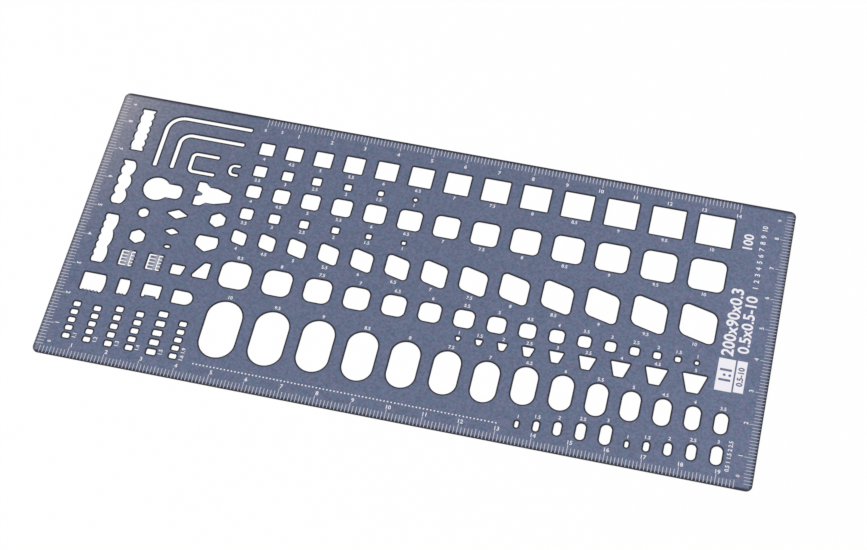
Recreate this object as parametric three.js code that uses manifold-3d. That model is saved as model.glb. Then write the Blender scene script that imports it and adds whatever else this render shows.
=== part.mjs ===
// Cutting template: one thin etched steel sheet with graded rows of openings and a field of
// tool-shaped slots. Millimetres. The sheet lies flat: +X runs along the long ruler edge,
// +Y across the sheet and +Z up. The origin is the middle of the underside.
import * as THREE from 'three';
import { mergeGeometries, mergeVertices } from 'three/addons/utils/BufferGeometryUtils.js';
import Module from 'manifold-3d';

// Sheet
const sheetLength = 200;
const sheetWidth = 90;
const sheetThickness = 0.3;
const cornerRadius = 1.8;
const arcTolerance = 0.03; // how far a straight facet may stand off the arc it follows

// Plain metal to the right of the longest row and above the highest row
const rightMargin = 9.2;
const topMargin = 6.05;

// Graded rows: sizes in steps, a constant bridge of metal between neighbours
const sizeStep = 0.5;
const smallestOpening = 1;
const rowBridge = 4;

// The tool shapes fill the left of the sheet up to here; the rows start a bridge further on
const fieldRight = 40.9;
const fieldBridge = 3.4;

// Rows of squares, rounded squares and slanted squares share one series
const upperSeriesStart = 4;
const upperSeriesEnd = 10;
const roundedCornerShare = 0.2;
const slantedSlope = 0.24;
const squareRowDrop = 7.85; // from a row's middle down to the small openings under it
const roundedRowDrop = 7.8;
const squareToRounded = 5.05; // metal between the largest openings of neighbouring rows
const roundedToSlanted = 5.27;
const slantedToSoft = 2.33;

// Row of soft squares, with larger corner rounding
const softSeriesStart = 8.5;
const softCornerShare = 0.3;
const softToSlots = 4.45;

// Row of tapered openings, wide at the top
const taperSeriesEnd = 5;
const taperTopShare = 1.34;
const taperBridge = 4.2;
const taperBottomShare = 0.62;
const taperHeightShare = 1.13;
const softToTaper = 6.5; // between the middles of the two rows

// Row of long slots with round ends
const longSlotSeriesStart = 10;
const longSlotSeriesEnd = 3.5;
const longSlotShare = 1.8;
const longSlotClearance = 8.8; // from the bottom edge to the largest long slot
const raisedSlotStart = 6.5; // slots from this size down sit higher
const slotRaise = 0.65;
const slotOffsets = { 9: 0.45, 7: -0.45 }; // two sizes stand off the line

// Row of short slots with round ends: two series side by side
const shortSlotSeriesEnd = 3;
const shortSlotSeries = [
  { heightShare: 2, clearance: 5.5 },
  { heightShare: 1.85, clearance: 5.95 },
];

// Columns of small windows along the bottom of the left field
const windowColumns = [
  { x: 7.85, pitch: 2.59, width: 1.9, height: 1.45 },
  { x: 13.85, pitch: 2.52, width: 1.9, height: 1.5 },
  { x: 20.03, pitch: 2.79, width: 1.95, height: 1.6 },
  { x: 26.07, pitch: 2.69, width: 2, height: 1.55 },
  { x: 32.43, pitch: 3.04, width: 2.5, height: 1.7 },
  { x: 38.67, pitch: 2.58, width: 1.95, height: 1.45 },
];
const windowsPerColumn = 5;
const lowestWindowMiddle = 6.83;

// Upright slots with scalloped sides; each side has its own pitch and depth of lobe, and its
// highest cusp stands a lead below the top
const scallopedSlots = [
  {
    x: 8.75, y: 78, width: 3.8, height: 14.5,
    left: { lead: 1.5, pitch: 3.13, depth: 0.4 },
    right: { lead: 1.2, pitch: 2.39, depth: 0.55 },
  },
  {
    x: 8.6, y: 59.3, width: 4, height: 15,
    left: { lead: 1.56, pitch: 3.36, depth: 0.7 },
    right: { lead: 5, pitch: 5, depth: 1 },
  },
  {
    x: 9.05, y: 39.8, width: 3.9, height: 16.2,
    left: { lead: 2.1, pitch: 2.38, depth: 0.4 },
    right: { lead: 5.2, pitch: 5.5, depth: 0.65 },
  },
];

// Narrow slots bent round a corner: a leg up and an arm to the right, measured on the centreline
const bentSlots = [
  { x: 15.55, y: 66.65, leg: 17.95, arm: 24.75, bendRadius: 5, width: 1.1 },
  { x: 20.65, y: 66.9, leg: 12.15, arm: 18.65, bendRadius: 3.2, width: 1.1 },
];

// Narrow slots shaped as a bracket: two arms to the right of an upright
const bracketSlots = [
  { x: 25.85, y: 70.05, armSpacing: 6.1, arm: 7.65, bendRadius: 1.2, width: 1 },
  { x: 37.55, y: 69.9, armSpacing: 3.2, arm: 2.75, bendRadius: 1.3, width: 0.8 },
];

// Keyhole: a disc with a rounded lobe to its right
const keyhole = { x: 18.6, y: 59, radius: 3.85, lobeReach: 7.4, lobeHalf: 2.3, lobeCorner: 1.6 };

// Dart with a notched tail: half heights at stations along its length
const dart = { x: 30.15, y: 60, length: 10.2, tailHalf: 3.95, waistHalf: 2.65, noseHalf: 1.25 };
const dartNotch = { depth: 1.8, mouthHalf: 1, tipHalf: 0.35 };
const dartStations = { tailEnd: 2, waistStart: 3.5, waistEnd: 5.8 };

// Hexagons with a corner at the top, across their flats
const hexagons = [
  { x: 38.75, y: 52.3, acrossFlats: 4.15 },
  { x: 17.25, y: 50.25, acrossFlats: 2.75 },
  { x: 17.8, y: 42.2, acrossFlats: 4 },
];

// Diamonds
const diamonds = [
  { x: 26.9, y: 51.8, width: 6, height: 3.1 },
  { x: 27, y: 45.8, width: 4, height: 2.1 },
  { x: 27.1, y: 40.7, width: 2, height: 1.1 },
];

// Shield: half widths at drops below its top
const shield = { x: 37.75, top: 46.4, halfWidths: [[0, 2.7], [1.5, 3.15], [3.35, 3], [5.1, 0]] };

// Quarter windows with one upright side and one raked side
const frontWindow = { x: 32.17, y: 33.87, width: 3.75, height: 3, bottomWidth: 3.05 };
const rearWindow = { x: 38.8, y: 35.15, width: 4.2, height: 5, topWidth: 1.7, sill: 0.9 };

// Louvres: pairs of combs, each a spine with fingers to its right
const louvres = [
  { x: 17.05, y: 34.6, width: 4, height: 5 },
  { x: 25.05, y: 34.85, width: 4.1, height: 5.1 },
];
const louvreFingers = 5;
const louvreFingerHeight = 0.6;
const louvreSpine = 0.55;
const louvreWallWidth = 0.3; // strip of metal between the two combs
const louvreSplit = 0.62; // the left comb's share of the width

// Panels with notched sills
const toothedPanels = [
  { x: 10.2, y: 24.9, width: 6.6, height: 5.7, teeth: 5, toothDepth: 0.45, bulge: 0.5 },
  { x: 18.9, y: 25.25, width: 3.1, height: 4.8, teeth: 2, toothDepth: 0.35, bulge: 0.3 },
];
const footedPanel = { x: 27, y: 25.5, width: 5, height: 4.1, footWidth: 0.85, footDepth: 0.65 };
const roundNosePanel = { x: 36.1, y: 25.3, width: 5.6, height: 4.1 };

// Scales along the four edges: half-etched marks at each centimetre and half centimetre
const scaleStep = 5;
const marksPerCentimetre = 2;
const markInset = 0.4; // plain metal between an edge and its marks
const markWidth = 0.2;
const markDepth = 0.1;
const centimetreMarkEnd = 3; // distance from the edge to a mark's inner end
const halfCentimetreMarkEnd = 2.4;

const cutterOverrun = 1; // how far a cutting prism passes the sheet's faces
const mergeDistance = 1e-5; // points nearer than this are one point

const wasm = await Module();
wasm.setup();

// Points of an arc, with enough facets to stay within the tolerance
function arcPoints(x, y, radius, startAngle, endAngle) {
  const largestStep = 2 * Math.acos(Math.max(0, 1 - arcTolerance / radius));
  const steps = Math.max(2, Math.ceil(Math.abs(endAngle - startAngle) / largestStep));
  const points = [];
  for (let i = 0; i <= steps; i += 1) {
    const angle = startAngle + ((endAngle - startAngle) * i) / steps;
    points.push(new THREE.Vector2(x + radius * Math.cos(angle), y + radius * Math.sin(angle)));
  }
  return points;
}

// A closed outline from pairs of numbers
function polygon(pairs) {
  return pairs.map(([x, y]) => new THREE.Vector2(x, y));
}

// Four-cornered outline about its middle
function rectangle(x, y, width, height) {
  const halfWidth = width / 2;
  const halfHeight = height / 2;
  return polygon([
    [x - halfWidth, y - halfHeight],
    [x + halfWidth, y - halfHeight],
    [x + halfWidth, y + halfHeight],
    [x - halfWidth, y + halfHeight],
  ]);
}

// Rectangle with round corners, as four quarter arcs; a radius of half the width makes a slot
function roundedRectangle(x, y, width, height, radius) {
  const insetX = width / 2 - radius;
  const insetY = height / 2 - radius;
  const points = [];
  [[1, 1], [-1, 1], [-1, -1], [1, -1]].forEach(([sideX, sideY], quarter) => {
    const start = (quarter * Math.PI) / 2;
    points.push(...arcPoints(x + sideX * insetX, y + sideY * insetY, radius, start, start + Math.PI / 2));
  });
  return withoutRepeats(points);
}

// Neighbouring points that coincide are one point
function withoutRepeats(points) {
  return points.filter((point, i) => {
    const previous = points[(i + points.length - 1) % points.length];
    return point.distanceTo(previous) > mergeDistance;
  });
}

// Rounded square whose top and bottom fall to the right
function slantedSquare(x, y, size) {
  return roundedRectangle(x, y, size, size, size * roundedCornerShare)
    .map((point) => new THREE.Vector2(point.x, point.y - slantedSlope * (point.x - x)));
}

// Opening that narrows towards its bottom
function taper(x, y, size) {
  const halfTop = (size * taperTopShare) / 2;
  const halfBottom = (size * taperBottomShare) / 2;
  const halfHeight = (size * taperHeightShare) / 2;
  return polygon([
    [x - halfBottom, y - halfHeight],
    [x + halfBottom, y - halfHeight],
    [x + halfTop, y + halfHeight],
    [x - halfTop, y + halfHeight],
  ]);
}

// One scalloped side from the top down: lobes that bulge outwards between cusps at x. The ends
// cut the highest and the lowest lobe short.
function lobes(x, top, bottom, { lead, pitch, depth }, side) {
  const radius = (pitch * pitch) / (8 * depth) + depth / 2;
  const centreX = x + side * (depth - radius);
  const points = [];
  for (let cusp = top - lead; cusp > bottom - pitch; cusp -= pitch) {
    const centreY = cusp + pitch / 2;
    const startAngle = Math.asin((Math.min(top, cusp + pitch) - centreY) / radius);
    const endAngle = Math.asin((Math.max(bottom, cusp) - centreY) / radius);
    const arc = arcPoints(0, 0, radius, startAngle, endAngle);
    arc.forEach((point) => points.push(new THREE.Vector2(centreX + side * point.x, centreY + point.y)));
  }
  return points;
}

function scallopedSlot({ x, y, width, height, left, right }) {
  const bottom = y - height / 2;
  const top = y + height / 2;
  return withoutRepeats([
    ...lobes(x + width / 2 - right.depth, top, bottom, right, 1).reverse(),
    ...lobes(x - width / 2 + left.depth, top, bottom, left, -1),
  ]);
}

// Slot of constant width along a centreline that bends smoothly
function slotAlong(centreline, width) {
  const left = [];
  const right = [];
  centreline.forEach((point, i) => {
    const before = centreline[Math.max(0, i - 1)];
    const after = centreline[Math.min(centreline.length - 1, i + 1)];
    const along = after.clone().sub(before).normalize();
    const across = new THREE.Vector2(-along.y, along.x).multiplyScalar(width / 2);
    left.push(point.clone().add(across));
    right.push(point.clone().sub(across));
  });
  return [...right, ...left.reverse()];
}

// Centreline that rises, turns right round a bend and runs to its end
function bentSlot({ x, y, leg, arm, bendRadius, width }) {
  return slotAlong([
    new THREE.Vector2(x, y),
    ...arcPoints(x + bendRadius, y + leg - bendRadius, bendRadius, Math.PI, Math.PI / 2),
    new THREE.Vector2(x + arm, y + leg),
  ], width);
}

function bracketSlot({ x, y, armSpacing, arm, bendRadius, width }) {
  const yTop = y + armSpacing / 2;
  const yBottom = y - armSpacing / 2;
  const bendX = x + bendRadius;
  return slotAlong([
    new THREE.Vector2(x + arm, yTop),
    ...arcPoints(bendX, yTop - bendRadius, bendRadius, Math.PI / 2, Math.PI),
    ...arcPoints(bendX, yBottom + bendRadius, bendRadius, Math.PI, (3 * Math.PI) / 2),
    new THREE.Vector2(x + arm, yBottom),
  ], width);
}

function keyholeOutline({ x, y, radius, lobeReach, lobeHalf, lobeCorner }) {
  const mouthAngle = Math.asin(lobeHalf / radius);
  const cornerX = x + lobeReach - lobeCorner;
  return [
    ...arcPoints(x, y, radius, mouthAngle, 2 * Math.PI - mouthAngle),
    ...arcPoints(cornerX, y - lobeHalf + lobeCorner, lobeCorner, -Math.PI / 2, 0),
    ...arcPoints(cornerX, y + lobeHalf - lobeCorner, lobeCorner, 0, Math.PI / 2),
  ];
}

// Dart: the lower half, then its mirror image
function dartOutline() {
  const lowerHalf = [
    [dartNotch.depth, dartNotch.tipHalf],
    [0, dartNotch.mouthHalf],
    [0, dart.tailHalf],
    [dartStations.tailEnd, dart.tailHalf],
    [dartStations.waistStart, dart.waistHalf],
    [dartStations.waistEnd, dart.waistHalf],
    [dart.length, dart.noseHalf],
  ];
  const upperHalf = lowerHalf.map(([along, half]) => [along, -half]).reverse();
  return polygon([...lowerHalf, ...upperHalf].map(([along, half]) => [dart.x + along, dart.y - half]));
}

function hexagon({ x, y, acrossFlats }) {
  const cornerDistance = acrossFlats / Math.sqrt(3);
  const points = [];
  for (let i = 0; i < 6; i += 1) {
    const angle = Math.PI / 2 + (i * Math.PI) / 3;
    points.push([x + cornerDistance * Math.cos(angle), y + cornerDistance * Math.sin(angle)]);
  }
  return polygon(points);
}

function diamond({ x, y, width, height }) {
  return polygon([
    [x, y - height / 2],
    [x + width / 2, y],
    [x, y + height / 2],
    [x - width / 2, y],
  ]);
}

// Shield: down its left side and up its right side, which share the point at the bottom
function shieldOutline({ x, top, halfWidths }) {
  const left = halfWidths.map(([drop, half]) => [x - half, top - drop]);
  const right = halfWidths.map(([drop, half]) => [x + half, top - drop]);
  return polygon([...left, ...right.slice(0, -1).reverse()]);
}

// Window with an upright left side and a right side that is raked inwards to the bottom
function frontWindowOutline({ x, y, width, height, bottomWidth }) {
  const left = x - width / 2;
  return polygon([
    [left, y - height / 2],
    [left + bottomWidth, y - height / 2],
    [left + width, y + height / 2],
    [left, y + height / 2],
  ]);
}

// Window with an upright right side and a left side that is raked inwards to the top
function rearWindowOutline({ x, y, width, height, topWidth, sill }) {
  const right = x + width / 2;
  const left = x - width / 2;
  const bottom = y - height / 2;
  return polygon([
    [left, bottom],
    [right, bottom],
    [right, y + height / 2],
    [right - topWidth, y + height / 2],
    [left, bottom + sill],
  ]);
}

// Comb: a spine on the left with fingers to the right
function comb(left, right, y, height) {
  const pitch = (height - louvreFingerHeight) / (louvreFingers - 1);
  const bottom = y - height / 2;
  const spineRight = left + louvreSpine;
  const points = [];
  for (let i = 0; i < louvreFingers; i += 1) {
    const fingerBottom = bottom + i * pitch;
    const fingerTop = fingerBottom + louvreFingerHeight;
    points.push([spineRight, fingerBottom], [right, fingerBottom]);
    points.push([right, fingerTop], [spineRight, fingerTop]);
  }
  // the first and the last point are the spine's own corners
  points[0] = [left, bottom];
  points[points.length - 1] = [left, bottom + height];
  return polygon(points);
}

function louvrePair({ x, y, width, height }) {
  const left = x - width / 2;
  const split = left + width * louvreSplit;
  return [
    comb(left, split - louvreWallWidth / 2, y, height),
    comb(split + louvreWallWidth / 2, left + width, y, height),
  ];
}

// Panel with a row of small teeth along its sill and a bulging right side
function toothedPanelOutline({ x, y, width, height, teeth, toothDepth, bulge }) {
  const left = x - width / 2;
  const sideX = x + width / 2 - bulge;
  const bottom = y - height / 2;
  const pitch = (sideX - left) / (teeth + 1);
  const sill = [[left, bottom]];
  for (let i = 1; i <= teeth; i += 1) {
    const toothX = left + pitch * i;
    sill.push([toothX - pitch / 4, bottom]);
    sill.push([toothX, bottom + toothDepth]);
    sill.push([toothX + pitch / 4, bottom]);
  }
  return withoutRepeats([
    ...polygon(sill),
    ...lobes(sideX, bottom + height, bottom, { lead: height, pitch: height, depth: bulge }, 1).reverse(),
    new THREE.Vector2(left, bottom + height),
  ]);
}

// Panel whose sill stands up between two feet
function footedPanelOutline({ x, y, width, height, footWidth, footDepth }) {
  const left = x - width / 2;
  const right = x + width / 2;
  const bottom = y - height / 2;
  return polygon([
    [left, bottom],
    [left + footWidth, bottom],
    [left + footWidth, bottom + footDepth],
    [right - footWidth, bottom + footDepth],
    [right - footWidth, bottom],
    [right, bottom],
    [right, bottom + height],
    [left, bottom + height],
  ]);
}

function roundNoseOutline({ x, y, width, height }) {
  const noseRadius = height / 2;
  return [
    new THREE.Vector2(x - width / 2, y - noseRadius),
    ...arcPoints(x + width / 2 - noseRadius, y, noseRadius, -Math.PI / 2, Math.PI / 2),
    new THREE.Vector2(x - width / 2, y + noseRadius),
  ];
}

// Tool shapes of the left field, each a closed outline; the louvres are pairs and come apart from these
function toolShapes() {
  const shapes = [];
  windowColumns.forEach(({ x, pitch, width, height }) => {
    for (let i = 0; i < windowsPerColumn; i += 1) {
      shapes.push(rectangle(x, lowestWindowMiddle + i * pitch, width, height));
    }
  });
  shapes.push(...scallopedSlots.map(scallopedSlot));
  shapes.push(...bentSlots.map(bentSlot));
  shapes.push(...bracketSlots.map(bracketSlot));
  shapes.push(...hexagons.map(hexagon));
  shapes.push(...diamonds.map(diamond));
  shapes.push(keyholeOutline(keyhole), dartOutline(), shieldOutline(shield));
  shapes.push(frontWindowOutline(frontWindow), rearWindowOutline(rearWindow));
  shapes.push(...toothedPanels.map(toothedPanelOutline));
  shapes.push(footedPanelOutline(footedPanel), roundNoseOutline(roundNosePanel));
  return shapes;
}

// Sizes from start to end, one step apart
function series(start, end) {
  const count = Math.round(Math.abs(end - start) / sizeStep);
  return Array.from({ length: count + 1 }, (_, i) => start + Math.sign(end - start) * i * sizeStep);
}

function rowLength(sizes, widthShare = 1, bridge = rowBridge) {
  const widths = sizes.reduce((total, size) => total + size * widthShare, 0);
  return widths + bridge * (sizes.length - 1);
}

// Openings side by side from a left edge, each with its size and the x of its middle
function row(left, sizes, widthShare = 1, bridge = rowBridge) {
  let edge = left;
  return sizes.map((size) => {
    const width = size * widthShare;
    const x = edge + width / 2;
    edge += width + bridge;
    return { size, x };
  });
}

const rowsLeft = fieldRight + fieldBridge;
const upperSeries = series(upperSeriesStart, upperSeriesEnd);
const lowerSeries = series(upperSeriesStart - sizeStep, smallestOpening);
const softSeries = series(softSeriesStart, smallestOpening);
const taperSeries = series(smallestOpening, taperSeriesEnd);
const longSlotSizes = series(longSlotSeriesStart, longSlotSeriesEnd);
const shortSlotSizes = series(smallestOpening, shortSlotSeriesEnd);

// Heights of the rows' middles, stacked up from the bottom edge
const largestSlot = longSlotSeriesStart * longSlotShare;
const slotMiddle = longSlotClearance + largestSlot / 2;
const softMiddle = slotMiddle + largestSlot / 2 + softToSlots + softSeriesStart / 2;
const taperMiddle = softMiddle - softToTaper;
const slantedReach = upperSeriesEnd * (0.5 - roundedCornerShare) * (1 + slantedSlope)
  + upperSeriesEnd * roundedCornerShare * Math.hypot(1, slantedSlope);
const slantedMiddle = softMiddle + softSeriesStart / 2 + slantedToSoft + slantedReach;
const roundedMiddle = slantedMiddle + slantedReach + roundedToSlanted + upperSeriesEnd / 2;
const squareMiddle = roundedMiddle + upperSeriesEnd + squareToRounded;

// The layout's own size, from its rows and margins; its places are spread evenly over the sheet
const longestRow = Math.max(rowLength(upperSeries), rowLength(softSeries), rowLength(longSlotSizes));
const layoutLength = rowsLeft + longestRow + rightMargin;
const layoutWidth = squareMiddle + upperSeriesEnd / 2 + topMargin;
const spread = new THREE.Vector2(sheetLength / layoutLength, sheetWidth / layoutWidth);

// Outlines that belong together, moved as one to their place on the sheet
function placed(outlines) {
  const middle = new THREE.Box2().setFromPoints(outlines.flat()).getCenter(new THREE.Vector2());
  const shift = middle.clone().multiply(spread).sub(middle);
  return outlines.map((points) => points.map((point) => point.clone().add(shift)));
}

function gradedOpenings() {
  const shapes = [];
  const upperRow = row(rowsLeft, upperSeries);
  const lowerRow = lowerSeries.map((size, i) => ({ size, x: upperRow[i].x }));
  upperRow.forEach(({ size, x }) => {
    shapes.push(rectangle(x, squareMiddle, size, size));
    shapes.push(roundedRectangle(x, roundedMiddle, size, size, size * roundedCornerShare));
    shapes.push(slantedSquare(x, slantedMiddle, size));
  });
  lowerRow.forEach(({ size, x }) => {
    const corner = size * roundedCornerShare;
    shapes.push(rectangle(x, squareMiddle - squareRowDrop, size, size));
    shapes.push(roundedRectangle(x, roundedMiddle - roundedRowDrop, size, size, corner));
  });
  row(rowsLeft, softSeries).forEach(({ size, x }) => {
    shapes.push(roundedRectangle(x, softMiddle, size, size, size * softCornerShare));
  });
  const upperRowRight = rowsLeft + rowLength(upperSeries);
  const taperLeft = upperRowRight - rowLength(taperSeries, taperTopShare, taperBridge);
  row(taperLeft, taperSeries, taperTopShare, taperBridge).forEach(({ size, x }) => {
    shapes.push(taper(x, taperMiddle, size));
  });
  row(rowsLeft, longSlotSizes).forEach(({ size, x }) => {
    const raise = size <= raisedSlotStart ? slotRaise : slotOffsets[size] ?? 0;
    shapes.push(roundedRectangle(x, slotMiddle + raise, size, size * longSlotShare, size / 2));
  });
  const shortSizes = shortSlotSeries.flatMap(() => shortSlotSizes);
  const shortLeft = rowsLeft + rowLength(longSlotSizes) - rowLength(shortSizes);
  row(shortLeft, shortSizes).forEach(({ size, x }, i) => {
    const { heightShare, clearance } = shortSlotSeries[Math.floor(i / shortSlotSizes.length)];
    const height = size * heightShare;
    shapes.push(roundedRectangle(x, clearance + height / 2, size, height, size / 2));
  });
  return shapes;
}

// Marks of one scale: from a start point, along an edge, each reaching inwards from it
function scaleMarks(start, along, inwards, first, last) {
  const marks = [];
  for (let i = first / scaleStep; i * scaleStep <= last; i += 1) {
    const end = i % marksPerCentimetre === 0 ? centimetreMarkEnd : halfCentimetreMarkEnd;
    const middle = start.clone()
      .addScaledVector(along, i * scaleStep)
      .addScaledVector(inwards, (markInset + end) / 2);
    const reach = end - markInset;
    const width = Math.abs(along.x) * markWidth + Math.abs(inwards.x) * reach;
    const height = Math.abs(along.y) * markWidth + Math.abs(inwards.y) * reach;
    marks.push(rectangle(middle.x, middle.y, width, height));
  }
  return marks;
}

// Three scales count from the near corners; the far one spans the rows in whole centimetres
function allScaleMarks() {
  const right = new THREE.Vector2(1, 0);
  const left = new THREE.Vector2(-1, 0);
  const up = new THREE.Vector2(0, 1);
  const down = new THREE.Vector2(0, -1);
  const centimetre = scaleStep * marksPerCentimetre;
  const farStart = rowsLeft * spread.x;
  const farLength = Math.floor((longestRow * spread.x) / centimetre) * centimetre;
  const corner = centimetreMarkEnd; // no mark starts this near a corner
  return [
    ...scaleMarks(new THREE.Vector2(0, 0), right, up, scaleStep, sheetLength - corner),
    ...scaleMarks(new THREE.Vector2(0, 0), up, right, scaleStep, sheetWidth - corner),
    ...scaleMarks(new THREE.Vector2(sheetLength, 0), up, left, scaleStep, sheetWidth - corner),
    ...scaleMarks(new THREE.Vector2(farStart, sheetWidth), right, down, 0, farLength),
  ];
}

// Prism on an outline, standing from zBottom to zTop
function prism(points, zBottom, zTop) {
  const shape = new THREE.Shape(points);
  const geometry = new THREE.ExtrudeGeometry(shape, { depth: zTop - zBottom, bevelEnabled: false });
  return geometry.translate(-sheetLength / 2, -sheetWidth / 2, zBottom);
}

function solid(geometries) {
  const positionsOnly = geometries.map((geometry) => {
    const copy = geometry.clone();
    copy.deleteAttribute('normal');
    copy.deleteAttribute('uv');
    return mergeVertices(copy, mergeDistance);
  });
  const merged = mergeGeometries(positionsOnly);
  const vertProperties = new Float32Array(merged.attributes.position.array);
  const triVerts = new Uint32Array(merged.index.array);
  return new wasm.Manifold(new wasm.Mesh({ numProp: 3, vertProperties, triVerts }));
}

function geometryOf(cutSolid) {
  const { vertProperties, triVerts } = cutSolid.getMesh();
  const geometry = new THREE.BufferGeometry();
  geometry.setAttribute('position', new THREE.BufferAttribute(vertProperties, 3));
  geometry.setIndex(new THREE.BufferAttribute(triVerts, 1));
  return geometry.toNonIndexed();
}

function templateSheet() {
  const middle = new THREE.Vector2(sheetLength / 2, sheetWidth / 2);
  const outline = roundedRectangle(middle.x, middle.y, sheetLength, sheetWidth, cornerRadius);
  const blank = solid([prism(outline, 0, sheetThickness)]);
  const cutterTop = sheetThickness + cutterOverrun;
  const singles = [...toolShapes(), ...gradedOpenings()].map((outline) => [outline]);
  const openings = [...singles, ...louvres.map(louvrePair)]
    .flatMap(placed)
    .map((points) => prism(points, -cutterOverrun, cutterTop));
  const marks = allScaleMarks()
    .map((points) => prism(points, sheetThickness - markDepth, cutterTop));
  const geometry = geometryOf(blank.subtract(solid([...openings, ...marks])));
  geometry.computeVertexNormals();
  const material = new THREE.MeshStandardMaterial({ color: '#8e93ab', roughness: 0.45, metalness: 0.9 });
  const mesh = new THREE.Mesh(geometry, material);
  mesh.name = 'template_sheet';
  return mesh;
}

const cuttingTemplate = new THREE.Group();
cuttingTemplate.add(templateSheet());

export default cuttingTemplate;
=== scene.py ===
# Cutting template: one thin etched steel sheet that lies on a white table.
# Outlines are worked out in millimetres in the sheet's frame and written into meshes in metres.
import itertools
import math
import bpy
import numpy as np
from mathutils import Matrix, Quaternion, Vector
from mathutils.geometry import delaunay_2d_cdt


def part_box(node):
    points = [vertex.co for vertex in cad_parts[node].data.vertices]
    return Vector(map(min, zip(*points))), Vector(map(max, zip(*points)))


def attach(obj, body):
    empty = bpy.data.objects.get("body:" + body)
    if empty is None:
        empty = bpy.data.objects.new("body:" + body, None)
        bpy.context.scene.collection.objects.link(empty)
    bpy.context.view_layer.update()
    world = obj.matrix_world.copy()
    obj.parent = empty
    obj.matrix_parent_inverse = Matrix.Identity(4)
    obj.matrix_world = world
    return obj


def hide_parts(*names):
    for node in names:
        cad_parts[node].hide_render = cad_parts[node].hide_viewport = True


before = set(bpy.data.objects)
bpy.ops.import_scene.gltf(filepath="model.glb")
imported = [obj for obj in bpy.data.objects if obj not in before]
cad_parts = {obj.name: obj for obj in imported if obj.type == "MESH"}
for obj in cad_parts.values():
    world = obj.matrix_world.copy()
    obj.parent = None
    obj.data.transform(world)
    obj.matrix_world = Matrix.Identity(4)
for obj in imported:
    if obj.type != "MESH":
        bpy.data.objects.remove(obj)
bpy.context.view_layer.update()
mm = 0.001  # metres in a millimetre
hair = 1e-9  # keeps a length that is divided by above zero

sheetLow, sheetHigh = (np.array(corner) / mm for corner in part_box("template_sheet"))
sheetLength, sheetWidth, sheetThickness = sheetHigh - sheetLow
print("frame loaded: sheet", sheetLength, sheetWidth, sheetThickness)


# Rings are closed outlines stored one after another: points, the ring that each belongs to,
# and the index of the point after and before it in the same ring.
def ringSet(points, ring):
    first = np.searchsorted(ring, ring, "left")
    last = np.searchsorted(ring, ring, "right") - 1
    index = np.arange(len(ring))
    return {
        "points": points,
        "ring": ring,
        "next": np.where(index == last, first, index + 1),
        "before": np.where(index == first, last, index - 1),
    }


# Puts scattered points in ring order, given the point that follows each one. By jumps that double
# in length, each point learns the lowest number in its ring and its steps to that point.
def chainRings(points, following):
    count = len(following)
    rounds = math.ceil(math.log2(count))
    lowest = np.arange(count)
    jump = following
    for _ in range(rounds):
        lowest = np.minimum(lowest, lowest[jump])
        jump = jump[jump]
    isLowest = lowest == np.arange(count)
    steps = np.where(isLowest, 0, 1)
    jump = np.where(isLowest, lowest, following)
    for _ in range(rounds):
        steps = steps + steps[jump]
        jump = jump[jump]
    order = np.lexsort((-np.where(isLowest, count, steps), lowest))
    ring = np.unique(lowest[order], return_inverse=True)[1]
    return ringSet(points[order], ring)


# Drops points that lie on the one after them
def withoutRepeats(rings, least=0.01):
    along = rings["points"][rings["next"]] - rings["points"]
    kept = np.hypot(along[:, 0], along[:, 1]) > least
    return ringSet(rings["points"][kept], rings["ring"][kept])


# The three edges of each triangle, as pairs of point numbers in the triangle's own direction
def directedEdges(triangles):
    return np.concatenate([triangles[:, [0, 1]], triangles[:, [1, 2]], triangles[:, [2, 0]]])


# Outlines of the solid's underside, each with the metal on its left: the edges of its bottom
# triangles that no other triangle runs along the other way
def undersideRings(node, decimals=4):
    mesh = node.data
    mesh.calc_loop_triangles()
    corners = np.zeros(len(mesh.loop_triangles) * 3, np.int32)
    mesh.loop_triangles.foreach_get("vertices", corners)
    places = np.zeros(len(mesh.vertices) * 3, np.float32)
    mesh.vertices.foreach_get("co", places)
    places = np.round(places.reshape(-1, 3) / mm, decimals)
    points, same = np.unique(places, axis=0, return_inverse=True)
    triangles = same.reshape(-1)[corners].reshape(-1, 3)
    triangles = triangles[(points[triangles][:, :, 2] == 0).all(axis=1)]
    edges = directedEdges(triangles)
    forward = edges[:, 0] * len(points) + edges[:, 1]
    backward = edges[:, 1] * len(points) + edges[:, 0]
    rim = edges[~np.isin(forward, backward)]
    numbers, rim = np.unique(rim, return_inverse=True)
    rim = rim.reshape(-1, 2)
    following = np.zeros(len(numbers), np.int64)
    following[rim[:, 1]] = rim[:, 0]  # turned round, because the underside is seen from below
    return chainRings(points[numbers, :2], following)


# Length and heading of the edge that leaves each point, and the turn at the point
def edgesOf(rings):
    along = rings["points"][rings["next"]] - rings["points"]
    length = np.hypot(along[:, 0], along[:, 1])
    heading = np.arctan2(along[:, 1], along[:, 0])
    turn = (heading - heading[rings["before"]] + np.pi) % (2 * np.pi) - np.pi
    return length, heading, turn


arcs = {
    "corner": 50,  # degrees of turn from which a point is a sharp corner
    "straight": 1.35,  # two edges longer than this meet in a sharp corner
    "facet": 12,  # degrees of arc for one facet of the finished outline
    "openingCut": 0.32,  # from an opening's corner to where its rounding starts
    "metalCut": 0.1,  # the same on a point of metal
    "cutShare": 0.4,  # of the shorter edge, at most, that a corner's rounding takes
    "longest": 2.5,  # edge of the finished outline
}


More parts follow.
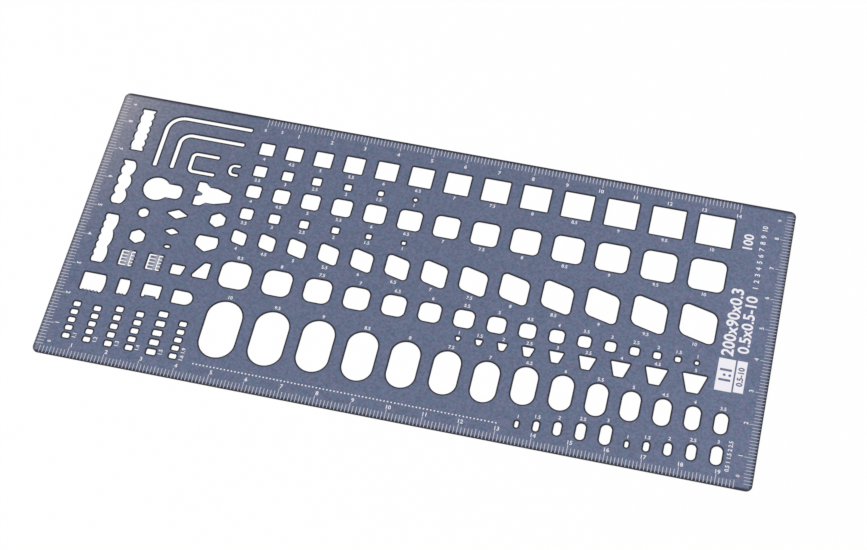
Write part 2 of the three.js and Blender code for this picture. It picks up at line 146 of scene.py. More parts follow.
# Cuts each sharp corner back to the two points where its rounding starts and ends. A corner is
# sharp by its turn, between two straight edges, or where the outline turns the other way both
# before and after it.
def softened(rings):
    length, heading, turn = edgesOf(rings)
    before, following = rings["before"], rings["next"]
    straight = (length > arcs["straight"]) & (length[before] > arcs["straight"])
    cusp = (turn * turn[before] < 0) & (turn * turn[following] < 0)
    sharp = (np.abs(turn) > math.radians(arcs["corner"])) | straight | cusp
    wanted = np.where(turn < 0, arcs["openingCut"], arcs["metalCut"])
    longest = arcs["cutShare"] * np.minimum(length, length[before])
    cut = np.where(sharp, np.minimum(wanted, longest), 0)
    corner = np.repeat(np.arange(len(cut)), np.where(sharp, 2, 1))
    second = np.diff(corner, prepend=-1) == 0
    along = np.where(second[:, None], compass(heading)[corner], -compass(heading[before])[corner])
    return ringSet(rings["points"][corner] + along * cut[corner, None], rings["ring"][corner])


# Rounds the outlines' facets. A point's tangent is the mean of its two headings, weighted by the
# square of the edges' lengths. Each edge becomes a Bezier arc between its two tangents, with
# handles of length / (3 cos^2(bend / 4)), the bend being the sum of the tangents' tilts off it.
def roundedArcs(rings):
    length, heading, turn = edgesOf(rings)
    before, following = rings["before"], rings["next"]
    share = length**2 / (length**2 + length[before] ** 2)
    startTilt = -turn * (1 - share)
    endTilt = (turn * share)[following]

    bend = np.abs(startTilt) + np.abs(endTilt)
    turns = bend / math.radians(arcs["facet"])
    facets = np.ceil(np.maximum(turns, length / arcs["longest"])).astype(int)
    edge = np.repeat(np.arange(len(length)), facets)
    step = np.arange(len(edge)) - np.repeat(np.cumsum(facets) - facets, facets)
    t = (step / facets[edge])[:, None]
    handle = length / (3 * np.cos(bend / 4) ** 2)
    start = rings["points"]
    end = start[following]
    leave = start + handle[:, None] * compass(heading + startTilt)
    arrive = end - handle[:, None] * compass(heading + endTilt)
    curve = (
        (1 - t) ** 3 * start[edge]
        + 3 * (1 - t) ** 2 * t * leave[edge]
        + 3 * (1 - t) * t**2 * arrive[edge]
        + t**3 * end[edge]
    )
    return ringSet(curve, rings["ring"][edge])


# Unit vectors (cos, sin) of an array of angles
def compass(angle):
    return np.stack([np.cos(angle), np.sin(angle)], axis=1)


# The direction halfway between the left sides of a point's two edges, and how far the point
# moves along it when both edges move one unit to their left, which is 1 / cos(turn / 2)
def miters(rings, longest=2.5):
    _, heading, turn = edgesOf(rings)
    left = compass(heading + np.pi / 2)
    total = left + left[rings["before"]]
    direction = total / np.maximum(np.hypot(total[:, 0], total[:, 1]), hair)[:, None]
    return direction, 1 / np.maximum(np.cos(turn / 2), 1 / longest)[:, None]


spacing = {
    "beads": (0, 0.25, 0.5, 0.75),  # places along each edge that count as points of its ring
    "facing": 1e-6,  # millimetres by which a bead has to lie on the side that is asked about
    "near": 2,  # millimetres round a ring in which other rings are looked for
    "gapShare": 0.4,  # of the gap to another ring that a ring may take
    "strokeShare": 0.5,  # of the touching circle's radius that a numeral's outline may take
    "rimShare": 0.75,  # the same for an opening's rim
}


# Radius of the largest circle that touches a ring at each point, lies on the given side and holds
# no other point of it: the least of |d|^2 / (2 d.n) over the offsets d, n being the direction.
# Beads within edges count as points, apart from those of the two edges that meet at the point.
def touchingRadius(points, direction):
    count, perEdge = len(points), len(spacing["beads"])
    along = np.roll(points, -1, axis=0) - points
    beads = np.concatenate([points + along * share for share in spacing["beads"]])
    edge = np.arange(count)
    within = np.arange(perEdge * count) >= count
    of = np.tile(edge, perEdge)
    meets = within & ((of == edge[:, None]) | (of == (edge[:, None] - 1) % count))
    offsets = beads - points[:, None]
    towards = np.einsum("ijk,ik->ij", offsets, direction)
    radius = (offsets**2).sum(axis=2) / np.maximum(2 * towards, hair)
    return np.where((towards > spacing["facing"]) & ~meets, radius, np.inf).min(axis=1)


# Distance from each point to the nearest of some edges. The nearest place of an edge lies at the
# share d.a / a.a of it, held between its ends, a being the edge and d the offset from its start.
def edgeDistance(points, start, end):
    along = end - start
    offsets = points[:, None] - start
    share = (offsets * along).sum(axis=2) / (along**2).sum(axis=1)
    apart = offsets - np.clip(share, 0, 1)[:, :, None] * along
    return np.hypot(apart[..., 0], apart[..., 1]).min(axis=1, initial=np.inf)


# How far each outline may move at each point so that no two outlines meet: a share of the
# touching circle's radius in its own ring, and under half of the gap to any other ring
def freeReach(rings, direction, reach, share):
    start, end = rings["points"], rings["points"][rings["next"]]
    low, high = np.minimum(start, end), np.maximum(start, end)
    limits = []
    for own in np.split(np.arange(len(start)), ringStarts(rings)):
        here = start[own]
        boxLow, boxHigh = here.min(axis=0) - spacing["near"], here.max(axis=0) + spacing["near"]
        near = (low < boxHigh).all(axis=1) & (high > boxLow).all(axis=1)
        near[own] = False
        gap = edgeDistance(here, start[near], end[near]) / reach[own, 0]
        ownLimit = share * touchingRadius(here, direction[own])
        limits.append(np.minimum(ownLimit, spacing["gapShare"] * gap))
    return np.concatenate(limits)


# Where the second ring and those after it start
def ringStarts(rings):
    return np.flatnonzero(np.diff(rings["ring"])) + 1


# Triangles between all outlines, out to their convex hull, and which outlines hold them: pair by
# pair, owner is a triangle's number and ring that of an outline round it. Every outline is closed,
# and its direction doesn't matter.
def triangulated(outlines, wholeHull=0, mergeReach=1e-7):
    counts = [len(outline) for outline in outlines]
    firsts = np.cumsum([0] + counts[:-1])
    faces = []
    for outline, first, count in zip(outlines, firsts, counts):
        x, y = outline.T
        area = np.sum(x * np.roll(y, -1) - np.roll(x, -1) * y)
        order = np.arange(first, first + count)
        faces.append((order if area > 0 else order[::-1]).tolist())
    points, _, found, _, _, origins = delaunay_2d_cdt(
        np.concatenate(outlines).tolist(), [], faces, wholeHull, mergeReach
    )
    triangles = np.array(found)
    sizes = np.fromiter(map(len, origins), int)
    owner = np.repeat(np.arange(len(triangles)), sizes)
    ring = np.fromiter(itertools.chain.from_iterable(origins), int)
    return np.array(points), triangles, owner, ring


# A patch of the sheet's surface: points in millimetres, triangles, and two values at each point:
# etched is 1 on an etched wall and on the painted shade round its rim, and mark is how pale a
# half-etched mark looks, 1 at most
def patch(plan, height, triangles, etched=0.0, mark=0.0):
    points = np.column_stack([plan, np.broadcast_to(height, len(plan))])
    values = [np.broadcast_to(value, len(plan)) for value in (etched, mark)]
    return {"points": points, "triangles": triangles, "etched": values[0], "mark": values[1]}


# Joins patches where their points coincide, and makes one mesh object. A joined point keeps the
# lowest "etched" and the highest "mark". Adding 0 turns -0 into 0, so that the same places match.
def weldedObject(name, patches, sharpEdge=30):
    points = np.concatenate([p["points"] for p in patches]).astype(np.float32) + np.float32(0)
    starts = np.cumsum([0] + [len(p["points"]) for p in patches[:-1]])
    triangles = np.concatenate([p["triangles"] + s for p, s in zip(patches, starts)])
    keys = np.ascontiguousarray(points).view([("", np.float32)] * 3).ravel()
    _, kept, same = np.unique(keys, return_index=True, return_inverse=True)
    same = same.reshape(-1)
    triangles = same[triangles]
    triangles = triangles[(triangles != np.roll(triangles, 1, axis=1)).all(axis=1)]
    used, triangles = np.unique(triangles, return_inverse=True)
    kept, triangles = kept[used], triangles.reshape(-1, 3)
    mesh = bpy.data.meshes.new(name)
    mesh.from_pydata((points[kept] * mm).tolist(), [], triangles.tolist())
    for value, start, keep in (("etched", 1, np.minimum), ("mark", 0, np.maximum)):
        joined = np.full(len(same), start, np.float32)
        keep.at(joined, same, np.concatenate([p[value] for p in patches]))
        layer = mesh.attributes.new(value, "FLOAT", "POINT")
        layer.data.foreach_set("value", joined[used])
    mesh.shade_smooth()
    mesh.set_sharp_from_angle(angle=math.radians(sharpEdge))
    mesh.update()
    piece = bpy.data.objects.new(name, mesh)
    bpy.context.scene.collection.objects.link(piece)
    return piece


# Numerals

numerals = {
    "heaviness": 0.028,  # added all round each stroke, as a share of the text size
    "capital": 0.682,  # height of a numeral in a text of size 1
    "curveSteps": 3,  # points that the font's curves get between two of their own
    "upwards": 90,  # degrees by which a text is turned to read up the sheet
}
textRings = {}  # outlines of each text that has been made, to be used again


# Outlines of a text on one line, centred, with numerals 1 high
def ringsOfText(body):
    if body not in textRings:
        curve = bpy.data.curves.new("numeral", "FONT")
        curve.body = body
        curve.fill_mode = "NONE"
        curve.resolution_u = numerals["curveSteps"]
        holder = bpy.data.objects.new("numeral", curve)
        bpy.context.scene.collection.objects.link(holder)
        shape = holder.evaluated_get(bpy.context.evaluated_depsgraph_get())
        mesh = bpy.data.meshes.new_from_object(shape)
        points = np.zeros(len(mesh.vertices) * 3)
        mesh.vertices.foreach_get("co", points)
        edges = np.zeros(len(mesh.edges) * 2, np.int64)
        mesh.edges.foreach_get("vertices", edges)
        following = np.zeros(len(mesh.vertices), np.int64)
        following[edges[0::2]] = edges[1::2]
        rings = withoutRepeats(chainRings(points.reshape(-1, 3)[:, :2], following))
        bpy.data.meshes.remove(mesh)
        bpy.data.objects.remove(holder)
        bpy.data.curves.remove(curve)
        direction, reach = miters(rings)
        direction *= -textSide(rings)
        limit = freeReach(rings, direction, reach, spacing["strokeShare"])
        heaviness = np.minimum(numerals["heaviness"], limit)
        bold = rings["points"] + direction * reach * heaviness[:, None]
        low, high = bold.min(axis=0), bold.max(axis=0)
        middle = np.array([(low[0] + high[0]) / 2, numerals["capital"] / 2])
        centred = (bold - middle) / numerals["capital"]
        textRings[body] = np.split(centred, ringStarts(rings))
    return textRings[body]


# 1 where a font's outer outlines run anticlockwise, and -1 where they run clockwise: the sign of
# the area inside all outlines together
def textSide(rings):
    x, y = rings["points"].T
    after = rings["next"]
    return np.sign(np.sum(x * y[after] - x[after] * y))


# A text's outlines at a place on the sheet, turned anticlockwise by a number of degrees
def textAt(body, x, y, height, degrees=0):
    c, s = math.cos(math.radians(degrees)), math.sin(math.radians(degrees))
    turned = np.array([[c, s], [-s, c]])
    return [ring * height @ turned + (x, y) for ring in ringsOfText(body)]


# Rectangles about their middles
def blocks(x, y, width, height):
    x, y, width, height = np.broadcast_arrays(*map(np.atleast_1d, (x, y, width, height)))
    corners = np.array([[-1, -1], [1, -1], [1, 1], [-1, 1]]) / 2
    middle = np.column_stack([x, y])[:, None, :]
    size = np.column_stack([width, height])[:, None, :]
    return list(middle + corners * size)


# Scales along the edges

scales = {
    "markWidth": 0.25,
    "millimetreEnd": 2.5,
    "halfCentimetreEnd": 2.75,
    "centimetreEnd": 3.4,
    "numberHeight": 1.15,
    "depth": 0.1,
    "paleness": 0.8,  # beside that of the numbers, which is 1
}
# Each scale: where it starts, the way it counts, the way its marks point, its first and last
# millimetre, the plain metal between the edge and its marks, its highest number, the place of its
# numbers beside their centimetre mark and in from the edge, and how they are turned
edgeScales = [
    {
        "start": (0, 0), "along": (1, 0), "inwards": (0, 1), "span": (2, 195), "inset": 0.25,
        "last": 19, "beside": 0.4, "in": 4.1, "turn": 0,
    },
    {
        "start": (0, 0), "along": (0, 1), "inwards": (1, 0), "span": (3, 88), "inset": 0.25,
        "last": 8, "beside": 0.25, "in": 4.25, "turn": -90,
    },
    {
        "start": (200, 0), "along": (0, 1), "inwards": (-1, 0), "span": (2, 88), "inset": 0.25,
        "last": 8, "beside": 0.1, "in": 4.4, "turn": 90,
    },
    {
        "start": (44.3, 90), "along": (1, 0), "inwards": (0, -1), "span": (0, 140), "inset": 0.5,
        "last": 14, "beside": -0.1, "in": 4.65, "turn": 0,
    },
]


# One block for each millimetre of a scale, from its inset to its end
def scaleMarks(scale):
    along, inwards = np.array(scale["along"]), np.array(scale["inwards"])
    count = np.arange(scale["span"][0], scale["span"][1] + 1)
    end = np.select(
        [count % 10 == 0, count % 5 == 0],
        [scales["centimetreEnd"], scales["halfCentimetreEnd"]],
        scales["millimetreEnd"],
    )
    reach = (scale["inset"] + end) / 2
    middle = scale["start"] + np.outer(count, along) + np.outer(reach, inwards)
    size = np.outer(end - scale["inset"], np.abs(inwards)) + scales["markWidth"] * np.abs(along)
    return blocks(middle[:, 0], middle[:, 1], size[:, 0], size[:, 1])


# The number of each centimetre of a scale, ten millimetres apart
def scaleNumbers(scale):
    rings = []
    for number in range(1, scale["last"] + 1):
        place = scale["start"] + (10 * number + scale["beside"]) * np.array(scale["along"])
        x, y = place + scale["in"] * np.array(scale["inwards"])
        rings += textAt(str(number), x, y, scales["numberHeight"], scale["turn"])
    return rings


# Sizes beside the graded openings

sizeNumbers = {
    "height": 1.0,
    "depth": 0.05,
    "fieldEdge": 43,  # openings left of this are tool shapes and carry no size
    "sizeStep": 0.5,
}
# Each row: its middle and how far its openings' middles may stand off it, the opening's width for
# each millimetre of its size, and the number's distance from the edge, negative below the opening
graded = [
    {"middle": 78.95, "reach": 0.5, "share": 1, "gap": -1.4},
    {"middle": 71.1, "reach": 0.5, "share": 1, "gap": -1.4},
    {"middle": 63.9, "reach": 0.5, "share": 1, "gap": -1.4},
    {"middle": 56.1, "reach": 0.5, "share": 1, "gap": -1.4},
    {"middle": 47.86, "reach": 0.5, "share": 1, "gap": -1.65},
    {"middle": 35.5, "reach": 0.5, "share": 1, "gap": 1.55},
    {"middle": 29.0, "reach": 0.5, "share": 1.34, "gap": 1.3},
    {"middle": 17.8, "reach": 1.0, "share": 1, "gap": 1.4},
    {"middle": 7.5, "reach": 1.6, "share": 1, "gap": 1.4},
]


# The size beside each graded opening, read from the opening's own width. A number below an
# opening stands off a square as high as the opening is wide.
def gradedNumbers(low, high):
    middle, size = (low + high) / 2, high - low
    step = sizeNumbers["sizeStep"]
    isGraded = middle[:, 0] > sizeNumbers["fieldEdge"]
    rings = []
    for row in graded:
        inRow = isGraded & (np.abs(middle[:, 1] - row["middle"]) < row["reach"])
        for (x, y), (width, height) in zip(middle[inRow], size[inRow]):
            number = round(width / row["share"] / step) * step
            edge = y - width / 2 if row["gap"] < 0 else y + height / 2
            rings += textAt(f"{number:g}", x, edge + row["gap"], sizeNumbers["height"])
    return rings


# Small marks of the left field and the plain numbers and panels of the right end

fieldMarks = {
    "columns": [10.15, 16.15, 22.4, 28.35, 35.0],  # middles of the numbers beside the windows
    "columnHeight": 7.3,
    "columnText": 1.05,
    "lastColumn": ("1.6 1.9", 41.1, 7.9),
    "dots": (44.8, 130, 5.7),  # from x to x, at y
    "dotPitch": 1.0,
    "dotWidth": 0.42,
}
# Panels are x, y, width and height; texts are what they say, x, y and height
endMarks = {
    "panels": [(187.9, 33.5, 4.7, 10.2), (192.07, 33.65, 2.8, 10.0)],
    "panelTexts": [("1:1", 187.9, 33.5, 3.0), ("0.5-10", 192.07, 33.65, 1.6)],
    "texts": [
        ("100", 187.9, 77.4, 2.6),
        ("1  2  3  4  5  6  7  8  9  10", 192.0, 73.0, 1.4),
        ("200x90x0.3", 187.45, 50.4, 3.2),
        ("0.5x0.5-10", 191.65, 50.4, 3.0),
        ("0.5 1 1.5 2 2.5", 192.6, 9.2, 1.1),
    ],
    "loneNumbers": [  # at the ends of the scales: x, y, what they say and how they are turned
        (3.9, 86.3, "9", -90),
        (3.9, 4.1, "0", -90),
        (195.7, 86.3, "9", 90),
        (195.7, 4.0, "0", 90),
        (44.1, 85.5, "0", 0),
        (49.1, 85.8, "5", 0),
    ],
    "loneText": 0.95,
}


# Numbers 1.1, 1.2 and so on beside the columns of windows, and the dotted line
def fieldRings():
    height, upwards = fieldMarks["columnText"], numerals["upwards"]
    rings = []
    for number, x in enumerate(fieldMarks["columns"], start=1):
        rings += textAt(f"1.{number}", x, fieldMarks["columnHeight"], height, upwards)
    rings += textAt(*fieldMarks["lastColumn"], height, upwards)
    start, stop, level = fieldMarks["dots"]
    dots = np.arange(start, stop, fieldMarks["dotPitch"])
    rings += blocks(dots, level, fieldMarks["dotWidth"], fieldMarks["dotWidth"])
    return rings


# The right end's panels and texts; a text on a panel is left standing in it
def endRings():
    rings = blocks(*np.array(endMarks["panels"]).T)
    for body, x, y, height in endMarks["panelTexts"] + endMarks["texts"]:
        rings += textAt(body, x, y, height, numerals["upwards"])
    for x, y, body, turn in endMarks["loneNumbers"]:
        rings += textAt(body, x, y, endMarks["loneText"], turn)
    return rings


# The sheet

# The wall's section with a dark rim on either face, from the underside to the top: inset into
# the metal from the drawn outline, height as a share of the thickness, and how dark it looks:
# etched metal on the wall, and painted shade on the rim round it.
# Etching from both faces leaves a low ridge in the middle.
wallSection = [
    (0.64, 0.0, 0.0),
    (0.32, 0.0, 1.0),
    (0.04, 0.0, 1.0),
    (-0.02, 0.5, 1.0),
    (0.04, 1.0, 1.0),
    (0.32, 1.0, 1.0),
    (0.64, 1.0, 0.0),
]
outlineShare = 0.15  # of these insets, along the sheet's own edge, which the scales run up to
# The strips of metal between two fine slots are etched all over, which leaves them pale
fineSlots = {
    "slot": 0.4,  # half of a slot's width, below which it is fine
    "strip": (0.25, 0.19),  # reach into a strip at which it starts to pale, and is palest
    "paleness": 0.52,
    "narrowing": 0.15,  # of the slots, on each side
}


# Carries the section along every ring: between each two of its steps, two triangles for each edge.
# A step's place is the point + direction * (inset - narrowing of a fine slot) / cos(turn / 2).
def wallPatches(rings, outline):
    share = np.where(rings["ring"] == outline, outlineShare, 1)
    direction, reach = miters(rings)
    limit = freeReach(rings, direction, reach, spacing["rimShare"])
    wide, slim = fineSlots["strip"]
    fine = freeReach(rings, -direction, reach, share=1) < fineSlots["slot"]
    pale = fine * np.clip((wide - limit) / (wide - slim), 0, 1)
    plans = []
    for inset, _, _ in wallSection:
        move = np.minimum(inset * share, limit) - fineSlots["narrowing"] * pale
        move = move[:, None] * reach
        plans.append((rings["points"] + direction * move).astype(np.float32))
    count = len(rings["points"])
    here, after = np.arange(count), rings["next"]
    lower = np.column_stack([here, after, after + count])
    upper = np.column_stack([here, after + count, here + count])
    strips = []
    for k in range(len(wallSection) - 1):
        heights = np.repeat([wallSection[k][1], wallSection[k + 1][1]], count) * sheetThickness
        etched = np.outer([wallSection[k][2], wallSection[k + 1][2]], 1 - pale).ravel()
        mark = np.tile(pale * fineSlots["paleness"], 2)
        plan = np.concatenate([plans[k], plans[k + 1]])
        strips.append(patch(plan, heights, np.concatenate([lower, upper]), etched, mark))
    return strips, plans[0], plans[-1]


# The top face with its marks cut in, and the marks' floors and walls. A place is sunk where an odd
# number of marks holds it, which leaves the middle of a 0 standing, and so a text on a panel.
def topPatches(outlines, marks, depths):
    points, triangles, owner, ring = triangulated(outlines + marks)
    count = len(triangles)
    depthOf = np.concatenate([np.zeros(len(outlines)), depths])
    isOpening = (ring > 0) & (ring < len(outlines))
    inSheet = np.bincount(owner[ring == 0], minlength=count) > 0
    inOpening = np.bincount(owner[isOpening], minlength=count) > 0
    markCount = np.bincount(owner[ring >= len(outlines)], minlength=count)
    depth = np.zeros(count)
    np.maximum.at(depth, owner, depthOf[ring])
    metal = inSheet & ~inOpening
    sunk = metal & (markCount % 2 == 1)
    top = metal & ~sunk
    patches = [patch(points, sheetThickness, triangles[top])]
    topEdges = directedEdges(triangles[top])
    topKeys = topEdges[:, 0] * len(points) + topEdges[:, 1]
    for level in np.unique(depth[sunk]):
        floor = triangles[sunk & (depth == level)]
        paleness = scales["paleness"] if level == scales["depth"] else 1.0
        patches.append(patch(points, sheetThickness - level, floor, mark=paleness))
        floorEdges = directedEdges(floor)
        rim = topEdges[np.isin(topKeys, floorEdges[:, 1] * len(points) + floorEdges[:, 0])]
        edges = len(rim)
        plan = np.concatenate([points[rim[:, 0]], points[rim[:, 1]]] * 2)
        heights = np.repeat([sheetThickness - level, sheetThickness], 2 * edges)
        a = np.arange(edges)
        walls = np.concatenate([
            np.column_stack([a, a + edges, a + 3 * edges]),
            np.column_stack([a, a + 3 * edges, a + 2 * edges]),
        ])
        patches.append(patch(plan, heights, walls, mark=np.repeat([paleness, 0.0], 2 * edges)))
    return patches


# The flat bottom face, its triangles turned to face down
def underside(outlines):
    points, triangles, owner, ring = triangulated(outlines)
    inSheet = np.bincount(owner[ring == 0], minlength=len(triangles)) > 0
    inOpening = np.bincount(owner[ring > 0], minlength=len(triangles)) > 0
    return patch(points, 0.0, triangles[inSheet & ~inOpening][:, ::-1])


# The whole sheet: the solid's outlines rounded, walls along them, and a face on either side. The
# longest outline is the sheet's own edge, and it goes first; the others are openings.
def templateSheet():
    drawn = undersideRings(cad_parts["template_sheet"])
    rings = roundedArcs(softened(drawn))
    cuts = ringStarts(rings)
    largest = int(np.argmax([np.ptp(ring[:, 0]) for ring in np.split(rings["points"], cuts)]))
    strips, belowPlan, abovePlan = wallPatches(rings, largest)
    below, above = np.split(belowPlan, cuts), np.split(abovePlan, cuts)
    below.insert(0, below.pop(largest))
    above.insert(0, above.pop(largest))
    corner = sheetLow[:2]
    openings = np.split(rings["points"] - corner, cuts)
    openings.pop(largest)
    low = np.array([ring.min(axis=0) for ring in openings])
    high = np.array([ring.max(axis=0) for ring in openings])

    deep, shallow = [], gradedNumbers(low, high) + fieldRings() + endRings()
    for scale in edgeScales:
        deep += scaleMarks(scale)
        shallow += scaleNumbers(scale)
    marks = [ring + corner for ring in deep + shallow]
    depths = np.repeat([scales["depth"], sizeNumbers["depth"]], [len(deep), len(shallow)])
    patches = strips + [underside(below)] + topPatches(above, marks, depths)
    return weldedObject("etchedSheet", patches)


# Finishes


# One socket of the node tree that is being built; arithmetic on it adds Math nodes
class Wire:
    tree = None

    def __init__(self, socket):
        self.socket = socket

    # Adds a node: its settings first, then the value or link of each input
    @classmethod
    def node(cls, kind, settings=None, inputs=None, output=0):
        made = cls.tree.nodes.new(kind)
        for name, value in (settings or {}).items():
            setattr(made, name, value)
        for name, value in (inputs or {}).items():
            if isinstance(value, Wire):
                cls.tree.links.new(value.socket, made.inputs[name])
            else:
                made.inputs[name].default_value = value
        return Wire(made.outputs[output]) if made.outputs else None

    @classmethod
    def math(cls, operation, first, second=0.0):
        return cls.node("ShaderNodeMath", {"operation": operation}, {0: first, 1: second})

    def __add__(self, other):
        return self.math("ADD", self, other)

    def __sub__(self, other):
        return self.math("SUBTRACT", self, other)

    def __rsub__(self, other):
        return self.math("SUBTRACT", other, self)

    def __mul__(self, other):
        return self.math("MULTIPLY", self, other)

    def __truediv__(self, other):
        return self.math("DIVIDE", self, other)

    def __pow__(self, other):
        return self.math("POWER", self, other)

    __radd__ = __add__
    __rmul__ = __mul__

    def least(self, other):
        return self.math("MINIMUM", self, other)

    def most(self, other):
        return self.math("MAXIMUM", self, other)

    def clamped(self):
        return self.least(1.0).most(0.0)


# First colour where the share is 0, second where it is 1
def colourMix(share, first, second):
    return Wire.node(
        "ShaderNodeMix", {"data_type": "RGBA"}, {0: share, 6: first, 7: second}, output=2
    )


# The same for numbers
def numberMix(share, first, second):
    return first + (second - first) * share


# A colour as a screen shows it, 0 to 255, in the linear values that a shader takes: the inverse
# of the screen's standard curve
def seen(red, green, blue):
    channels = np.array([red, green, blue]) / 255
    linear = np.where(channels <= 0.04045, channels / 12.92, ((channels + 0.055) / 1.055) ** 2.4)
    return (*linear.tolist(), 1.0)


steel = {
    "blue": seen(99, 118, 144),
    "violet": seen(116, 117, 147),
    # paler metal of the painted sheen and of the painted highlight at the left edge
    "pale": seen(178, 173, 180),
    # dark of the etched walls, and of the painted shade round the openings and along the sheet's
    # edge
    "etched": seen(34, 34, 48),
    "mark": seen(236, 234, 240),
    "markFrom": 0.3,  # value at which a mark starts to show
    "etchedPower": 1.3,  # above 1, the painted shade of an opening's rim ends nearer to the opening
    "mottleContrast": 2.2,  # between the blue and the violet
    "streaks": (0.5, 0.16, 0.84),  # brightness without grain or speck, and what each of them adds
    "metallic": 0.7,
    "etchedMetallic": 0.5,  # share of that which etched metal loses
    "roughness": 0.42,
    "grainRoughness": 0.2,  # from the smoothest of the grain to the roughest
    "etchedRoughness": 0.2,  # added on etched metal
    "markRoughness": 0.8,
    "edgeShade": 0.85,  # how dark the painted shade along the sheet's own edge is
    "edgeReach": (0.45, 1.05),  # millimetres to which that holds, and at which it is gone
    "leftEdgeShade": 0.38,  # how dark that painted shade is along the left edge, where it is fainter
    "highlightPlace": 1.0,  # millimetres from the left edge to the palest line of the painted highlight beside it
    "highlightReach": 0.55,  # millimetres on either side of that line in which it fades
    "highlightShare": 0.42,  # of paler metal on that line
    "sheenShare": 0.72,  # of the painted sheen's paler metal at the sheet's top left corner
    "sheenFrom": 0.33,  # share of the sheet's width at which it starts
    "sheenPower": 1.5,  # above 1, it starts more slowly and gathers at the corner
    "sheenReach": 13.0,  # millimetres from the left edge in which it falls to a third
    # Patterns: how fine each noise is, its detail, and how its axes are stretched
    "mottle": (420, 3, (1, 1, 1)),
    "grain": (120, 2, (1, 30, 1)),
    "speck": (1500, 1, (1, 1, 1)),
    "noiseRoughness": 0.6,
    "bumpStrength": 0.25,
    "bumpDistance": 0.00002,
    "bumpShares": (0.6, 0.4),  # of the grain and of the speck
}


def etchedSteel():
    material = bpy.data.materials.new("etchedSteel")
    material.use_nodes = True
    Wire.tree = material.node_tree
    Wire.tree.nodes.clear()
    place = Wire.node("ShaderNodeTexCoord", output="Object")
    x = Wire.node("ShaderNodeSeparateXYZ", inputs={0: place}, output="X")
    y = Wire(x.socket.node.outputs["Y"])
    etched = Wire.node("ShaderNodeAttribute", {"attribute_name": "etched"}, output="Fac")
    mark = Wire.node("ShaderNodeAttribute", {"attribute_name": "mark"}, output="Fac")

    def noise(scale, detail, stretch):
        moved = Wire.node("ShaderNodeMapping", inputs={"Vector": place, "Scale": stretch})
        inputs = {"Vector": moved, "Scale": scale, "Detail": detail}
        inputs["Roughness"] = steel["noiseRoughness"]
        return Wire.node("ShaderNodeTexNoise", inputs=inputs)

    mottle = noise(*steel["mottle"])
    grain = noise(*steel["grain"])
    speck = noise(*steel["speck"])

    # Bluish metal, with a painted sheen that makes it paler up the left edge towards the top left
    # corner
    start = (sheetLow[1] + steel["sheenFrom"] * sheetWidth) * mm
    up = ((y - start) / (sheetHigh[1] * mm - start)).clamped() ** steel["sheenPower"]
    across = (sheetLow[0] * mm - x) / (steel["sheenReach"] * mm)
    paintedSheen = up * Wire.math("EXPONENT", across)
    mottled = ((mottle - 0.5) * steel["mottleContrast"] + 0.5).clamped()
    ground = colourMix(mottled, steel["blue"], steel["violet"])
    ground = colourMix(paintedSheen * steel["sheenShare"], ground, steel["pale"])

    # Brightness that varies with the grain and the speck
    least, grainShare, speckShare = steel["streaks"]
    streaks = least + grain * grainShare + speck * speckShare
    grey = Wire.node("ShaderNodeCombineXYZ", inputs={0: streaks, 1: streaks, 2: streaks})
    ground = Wire.node("ShaderNodeVectorMath", {"operation": "MULTIPLY"}, {0: ground, 1: grey})

    # Painted shade in a dark band along the sheet's edge, fainter on the left, with a painted
    # highlight in a pale line beside it there
    held, gone = steel["edgeReach"]

    def edgeBand(inwards, dark):
        return ((gone * mm - inwards) / ((gone - held) * mm)).clamped() * dark

    left = x - sheetLow[0] * mm
    inwards = (sheetHigh[0] * mm - x).least(y - sheetLow[1] * mm).least(sheetHigh[1] * mm - y)
    paintedEdgeShade = edgeBand(inwards, steel["edgeShade"]).most(edgeBand(left, steel["leftEdgeShade"]))
    # A painted highlight: a pale line just in from the left edge
    offLine = (left - steel["highlightPlace"] * mm) / (steel["highlightReach"] * mm)
    paintedHighlight = (1 - offLine.most(0 - offLine)).clamped() * steel["highlightShare"]
    ground = colourMix(paintedHighlight, ground, steel["pale"])

    # Dark etched walls with painted shade on the rims round them, and pale matt marks
    dark = (etched ** steel["etchedPower"]).most(paintedEdgeShade)
    ground = colourMix(dark, ground, steel["etched"])
    mark = ((mark - steel["markFrom"]) / (1 - steel["markFrom"])).clamped()
    colour = colourMix(mark, ground, steel["mark"])
    grainRoughness = (grain - 0.5) * steel["grainRoughness"]
    metalRoughness = steel["roughness"] + grainRoughness + etched * steel["etchedRoughness"]
    roughness = numberMix(mark, metalRoughness, steel["markRoughness"])
    metallic = (1 - mark) * (1 - etched * steel["etchedMetallic"]) * steel["metallic"]
    grainBump, speckBump = steel["bumpShares"]
    height = grain * grainBump + speck * speckBump
    bump = Wire.node(
        "ShaderNodeBump",
        inputs={
            "Strength": steel["bumpStrength"],
            "Distance": steel["bumpDistance"],
            "Height": height,
        },
    )
    shader = Wire.node(
        "ShaderNodeBsdfPrincipled",
        inputs={"Base Color": colour, "Roughness": roughness, "Metallic": metallic, "Normal": bump},
    )
    Wire.node("ShaderNodeOutputMaterial", inputs={"Surface": shader})
    return material


sheet = templateSheet()
sheet.data.materials.append(etchedSteel())
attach(sheet, "root")
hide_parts("template_sheet")
print("etched sheet:", len(sheet.data.polygons), "triangles")


# Stage

plainWhite = (1.0, 1.0, 1.0, 1.0)
table = {
    "reach": 3.0,  # metres from the middle to a side
    "drop": 0.00002,  # metres below the sheet
    "white": (0.9, 0.9, 0.9, 1.0),
    "glow": 0.93,  # share of plain white that the camera sees over the lit surface
}


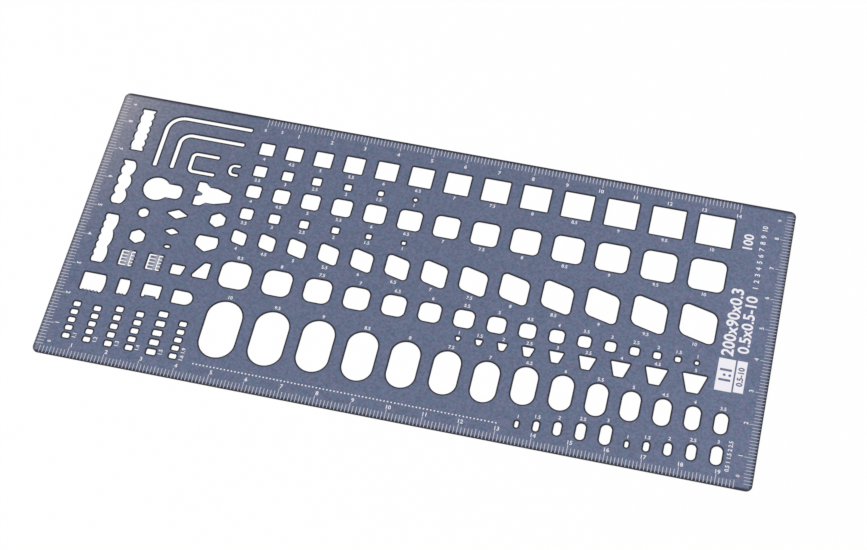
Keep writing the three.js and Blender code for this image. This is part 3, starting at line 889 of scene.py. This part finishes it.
def whiteTable():
    reach, level = table["reach"], -table["drop"]
    mesh = bpy.data.meshes.new("whiteTable")
    sides = [(-reach, -reach), (reach, -reach), (reach, reach), (-reach, reach)]
    mesh.from_pydata([(x, y, level) for x, y in sides], [], [(0, 1, 2, 3)])
    piece = bpy.data.objects.new("whiteTable", mesh)
    bpy.context.scene.collection.objects.link(piece)
    material = bpy.data.materials.new("whiteTable")
    material.use_nodes = True
    Wire.tree = material.node_tree
    Wire.tree.nodes.clear()
    seenBy = Wire.node("ShaderNodeLightPath", output="Is Camera Ray")
    mirrored = Wire(seenBy.socket.node.outputs["Is Glossy Ray"])
    through = Wire(seenBy.socket.node.outputs["Is Transmission Ray"])
    lit = Wire.node("ShaderNodeBsdfDiffuse", inputs={"Color": table["white"]})
    plain = Wire.node("ShaderNodeEmission", inputs={"Color": plainWhite, "Strength": 1.0})
    share = (seenBy + mirrored + through).clamped() * table["glow"]
    surface = Wire.node("ShaderNodeMixShader", inputs={0: share, 1: lit, 2: plain})
    Wire.node("ShaderNodeOutputMaterial", inputs={"Surface": surface})
    mesh.materials.append(material)


whiteTable()
print("table made")


# Light and camera

light = {
    "room": 0.66,  # brightness of the surroundings on the sheet
    "softboxes": [  # place, size and power in watts
        {"place": (-0.9, -0.5, 1.4), "size": 1.2, "power": 12},
        {"place": (0.9, 0.9, 1.3), "size": 1.2, "power": 5},
    ],
}


# Even light from all round, which the camera sees as plain white, and two softboxes
def softLight():
    world = bpy.data.worlds.new("studio")
    bpy.context.scene.world = world
    world.use_nodes = True
    Wire.tree = world.node_tree
    Wire.tree.nodes.clear()
    straight = Wire.node("ShaderNodeLightPath", output="Is Camera Ray")
    strength = numberMix(straight, light["room"], 1.0)
    surface = Wire.node("ShaderNodeBackground", inputs={"Color": plainWhite, "Strength": strength})
    Wire.node("ShaderNodeOutputWorld", inputs={"Surface": surface})
    for number, box in enumerate(light["softboxes"]):
        lamp = bpy.data.lights.new(f"softbox{number}", "AREA")
        lamp.shape = "SQUARE"
        lamp.size = box["size"]
        lamp.energy = box["power"]
        holder = bpy.data.objects.new(lamp.name, lamp)
        holder.location = box["place"]
        holder.rotation_euler = Vector(box["place"]).to_track_quat("Z", "Y").to_euler()
        bpy.context.scene.collection.objects.link(holder)


view = {
    "aim": (0.00309, 0.00274, 0.0),  # place that the middle of the picture shows, in metres
    "azimuth": 13.709,  # degrees from the sheet's -Y towards its +X
    "elevation": 58.804,
    "distance": 0.59409,
    "roll": -1.178,
    "lens": 87.659,
    "sensor": 36.0,
    "nearest": 0.01,
}


def photoCamera():
    turn, rise = math.radians(view["azimuth"]), math.radians(view["elevation"])
    across, up = math.cos(rise), math.sin(rise)
    back = Vector((math.sin(turn) * across, -math.cos(turn) * across, up))
    lens = bpy.data.cameras.new("photoCamera")
    lens.lens = view["lens"]
    lens.sensor_width = view["sensor"]
    lens.clip_start = view["nearest"]
    camera = bpy.data.objects.new("photoCamera", lens)
    camera.location = Vector(view["aim"]) + back * view["distance"]
    level = back.to_track_quat("Z", "Y")
    camera.rotation_mode = "QUATERNION"
    camera.rotation_quaternion = level @ Quaternion((0, 0, 1), math.radians(view["roll"]))
    bpy.context.scene.collection.objects.link(camera)
    bpy.context.scene.camera = camera


softLight()
photoCamera()
bpy.context.scene.view_settings.view_transform = "Standard"
print("light and camera set")
